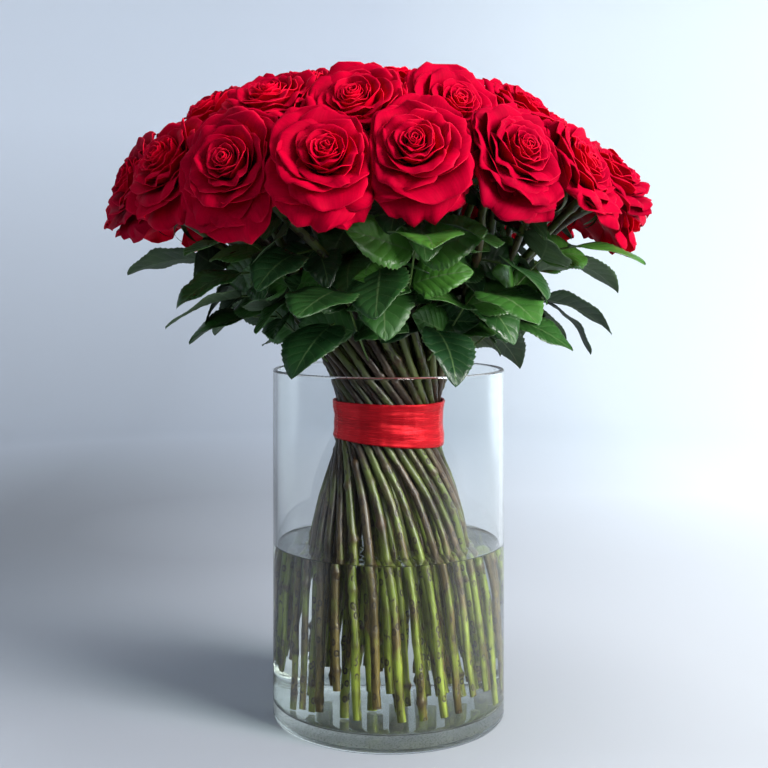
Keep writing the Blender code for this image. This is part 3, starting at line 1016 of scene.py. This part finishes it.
def add_petal(shape, rng, age, turn, opening, size):
    """One petal, rooted near the origin. Its age is 0 at the heart and 1 outermost."""
    length = size * blend(*PETAL_LENGTHS, ease(age * 1.15))
    width = size * blend(*PETAL_WIDTHS, ease(age * 1.35))
    base_lean = math.radians(blend(*BASE_LEANS, age**0.7))
    mid_lean = math.radians(blend(*MIDDLE_LEANS, age**1.05) * opening)
    tip_lean = math.radians(blend(*TIP_LEANS, age**0.55) * (0.6 + 0.4 * opening))
    wrap = blend(*PETAL_WRAPS, age)
    ruffle = blend(*PETAL_RUFFLES, age)
    seed = rng.uniform(0.0, 100.0)
    waves = rng.uniform(1.2, 3.0)
    phase = rng.uniform(0.0, math.tau)
    roll = blend(*EDGE_ROLLS, ease((age - 0.15) / 0.6)) * rng.uniform(0.5, 1.2)
    lean_drift = rng.uniform(-0.14, 0.14) * age
    skew = rng.uniform(-0.024, 0.024)
    roll_at = blend(*ROLL_STARTS, age)
    out, up = blend(*ROOT_RADII, age), blend(*ROOT_RISES, ease(age * 1.8))
    profile = [(out, up, base_lean)]
    for step in range(PROFILE_STEPS):
        share = (step + 0.5) / PROFILE_STEPS
        tip = max(share - roll_at, 0.0) / (1.0 - roll_at)
        lean = blend(base_lean, mid_lean, ease(share / 0.5))
        lean += (tip_lean - mid_lean) * tip**1.6 + lean_drift * share
        out += math.sin(lean) * length / PROFILE_STEPS
        up += math.cos(lean) * length / PROFILE_STEPS
        profile.append((out, up, lean))
    made = bmesh.ops.create_grid(
        shape, x_segments=PETAL_CELLS, y_segments=PETAL_CELLS, size=1.0, calc_uvs=True
    )
    for vert in made["verts"]:
        u = vert.co.x
        s = 1.0 - (1.0 - (vert.co.y + 1.0) / 2.0) ** 1.25
        edge = noise.noise(Vector((u * 1.8 + seed, age * 3.0, 0.0)))
        nick = noise.noise(Vector((u * 5.5 + seed, age * 7.0, 4.0)))
        s *= 1.0 - 0.24 * abs(u) ** 3.0 + (0.07 * edge + 0.025 * nick) * s + skew * u * s
        s = min(s, 1.0)
        whole = s * PROFILE_STEPS
        step = min(int(whole), PROFILE_STEPS - 1)
        pairs = zip(profile[step], profile[step + 1])
        out, up, lean = (blend(near, far, whole - step) for near, far in pairs)
        half = 0.5 * width * math.sin(math.pi * min(0.16 + 0.60 * s, 1.0)) ** 1.1
        radius = max(out, 0.0035) / wrap
        angle = u * half / radius
        inward = radius * (1.0 - math.cos(angle))
        margin = max(abs(u) - 0.45, 0.0) / 0.55
        off = roll * margin**2 * ease(s * 1.4)
        off += ruffle * math.sin(waves * math.pi * u + phase) * s**2.2
        off += ruffle * 1.5 * noise.noise(Vector((u * 2.4, s * 2.4, seed))) * s
        off += ruffle * 0.9 * noise.noise(Vector((u * 5.5, s * 3.0, seed + 9.0))) * s**4
        away = out - inward * math.cos(lean * 0.5) + math.cos(lean) * off
        side = radius * math.sin(angle)
        rise = up - math.sin(lean) * off + inward * math.sin(lean) * 0.55
        cos, sin = math.cos(turn), math.sin(turn)
        vert.co = Vector((cos * away - sin * side, sin * away + cos * side, rise))


def press_heads(places, rose):
    """Petal points moved back from the neighbouring heads, so that the heads press together."""
    middle = np.array(rose.middle)
    for other in roses:
        gap = np.array(other.middle) - middle
        distance = np.linalg.norm(gap)
        if other is rose or distance > PRESS_REACH:
            continue
        limit = distance * PRESS_SHARE
        start = limit * PRESS_START
        room = limit - start
        reach = (places - middle) @ (gap / distance)
        over = np.maximum(reach - start, 0.0)
        kept = room * (1.0 - np.exp(-over / room))
        places = places - np.outer(over - kept, gap / distance)
    return places


def petal_material(name, deep, bright, edge, roughness):
    """Velvety petal with fine lengthwise veins. Its root is painted deeper as painted shade, and
    its thin edge paler as a painted highlight.
    """
    made, tree, shader = new_material(
        name,
        Roughness=roughness,
        Specular_IOR_Level=0.05,
        Specular_Tint=(1.0, 0.15, 0.25, 1.0),
    )
    along = node(tree, "UVMap", uv_map="petal").outputs[0]
    u, v = node(tree, "SeparateXYZ", {0: along}).outputs[:2]
    place = node(tree, "TexCoord").outputs["Object"]
    patch = noise_at(tree, place, 32.0, 3.0)
    # Painted shade: the petal is painted deeper at its root, where it lies in the shaded heart.
    body = ramp(tree, v, (0.0, deep), (0.62, bright))
    shade = ramp(tree, patch, (0.3, (0.78, 0.74, 0.80)), (0.62, (1.05, 1.0, 1.0)))
    body = mixed(tree, 1.0, body, shade, "MULTIPLY")
    whole = node(tree, "Attribute", attribute_name="shade").outputs["Fac"]
    whole = ramp(tree, whole, (0.0, (0.68, 0.80, 0.90)), (0.7, (1.0, 1.0, 1.0)))
    body = mixed(tree, 1.0, body, whole, "MULTIPLY")
    vein_place = scaled(tree, along, 46.0, 3.0)
    veins = noise_at(tree, vein_place, 1.0, 4.0)
    lined = ramp(tree, veins, (0.35, (0.80, 0.78, 0.78)), (0.6, (1.0, 1.0, 1.0)))
    body = mixed(tree, 0.7, body, lined, "MULTIPLY")
    # Painted highlight: the thin edge is painted paler.
    across = maths(tree, "ABSOLUTE", maths(tree, "MULTIPLY_ADD", u, 2.0, -1.0))
    margin = maths(tree, "MAXIMUM", across, v)
    rim = map_range(tree, margin, (0.95, 1.0), (0.0, 0.6))
    rim = maths(tree, "MULTIPLY", rim, map_range(tree, patch, (0.35, 0.65)))
    body = mixed(tree, rim, body, edge)
    tree.links.new(body, shader.inputs["Base Color"])
    bump(tree, shader, veins, 0.25, 0.0005)
    glow = node(tree, "BsdfTranslucent", {0: body}).outputs[0]
    both = node(tree, "MixShader", {0: 0.20, 1: shader.outputs[0], 2: glow}).outputs[0]
    tree.links.new(both, tree.nodes["Material Output"].inputs["Surface"])
    return made


def build_flowers():
    # Each: the painted shade at the root, the petal's colour, and the painted highlight at its
    # edge.
    face_colours = ((0.30, 0.0, 0.008), (0.95, 0.0, 0.030), (0.98, 0.020, 0.06))
    back_colours = ((0.22, 0.0, 0.012), (0.52, 0.0, 0.024), (0.75, 0.02, 0.06))
    inner = petal_material("petal_face", *face_colours, 0.55)
    outer = petal_material("petal_back", *back_colours, 0.6)
    for index, rose in enumerate(roses):
        rng = random.Random(500 + index)
        shape = bmesh.new()
        shape.loops.layers.uv.new("petal")
        shade_layer = shape.verts.layers.float.new("shade")
        turn = rng.uniform(0.0, math.tau)
        opening = rng.uniform(0.68, 1.14)
        shade = rng.uniform(0.0, 1.0)
        size = max(rose.radius * SIZE_PER_RADIUS, 0.9) * rng.uniform(0.96, 1.05)
        for count, youngest, oldest in WHORLS:
            for petal in range(count):
                turn += GOLDEN_TURN + rng.uniform(-0.22, 0.22)
                opened = opening * rng.uniform(0.90, 1.10)
                age = blend(youngest, oldest, petal / (count - 1))
                add_petal(shape, rng, age, turn, opened, size * rng.uniform(0.93, 1.07))
        for vert in shape.verts:
            vert[shade_layer] = shade
        nod = Vector((rng.uniform(-1.0, 1.0), rng.uniform(-1.0, 1.0), rng.uniform(-1.0, 1.0)))
        facing = (rose.axis + nod * HEAD_NOD).to_track_quat("Z", "Y").to_matrix().to_4x4()
        shape.transform(Matrix.Translation(rose.base) @ facing)
        flower = to_object(f"flower_{rose.number}", shape, inner, outer)
        mesh = flower.data
        places = np.empty(len(mesh.vertices) * 3)
        mesh.vertices.foreach_get("co", places)
        places = press_heads(places.reshape(-1, 3), rose)
        mesh.vertices.foreach_set("co", places.ravel())
        mesh.update()
        skin = flower.modifiers.new("thickness", "SOLIDIFY")
        skin.thickness = PETAL_THICKNESS
        skin.offset = -1.0
        skin.material_offset = 1
        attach(flower, "root")
        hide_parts(rose.node)


build_flowers()
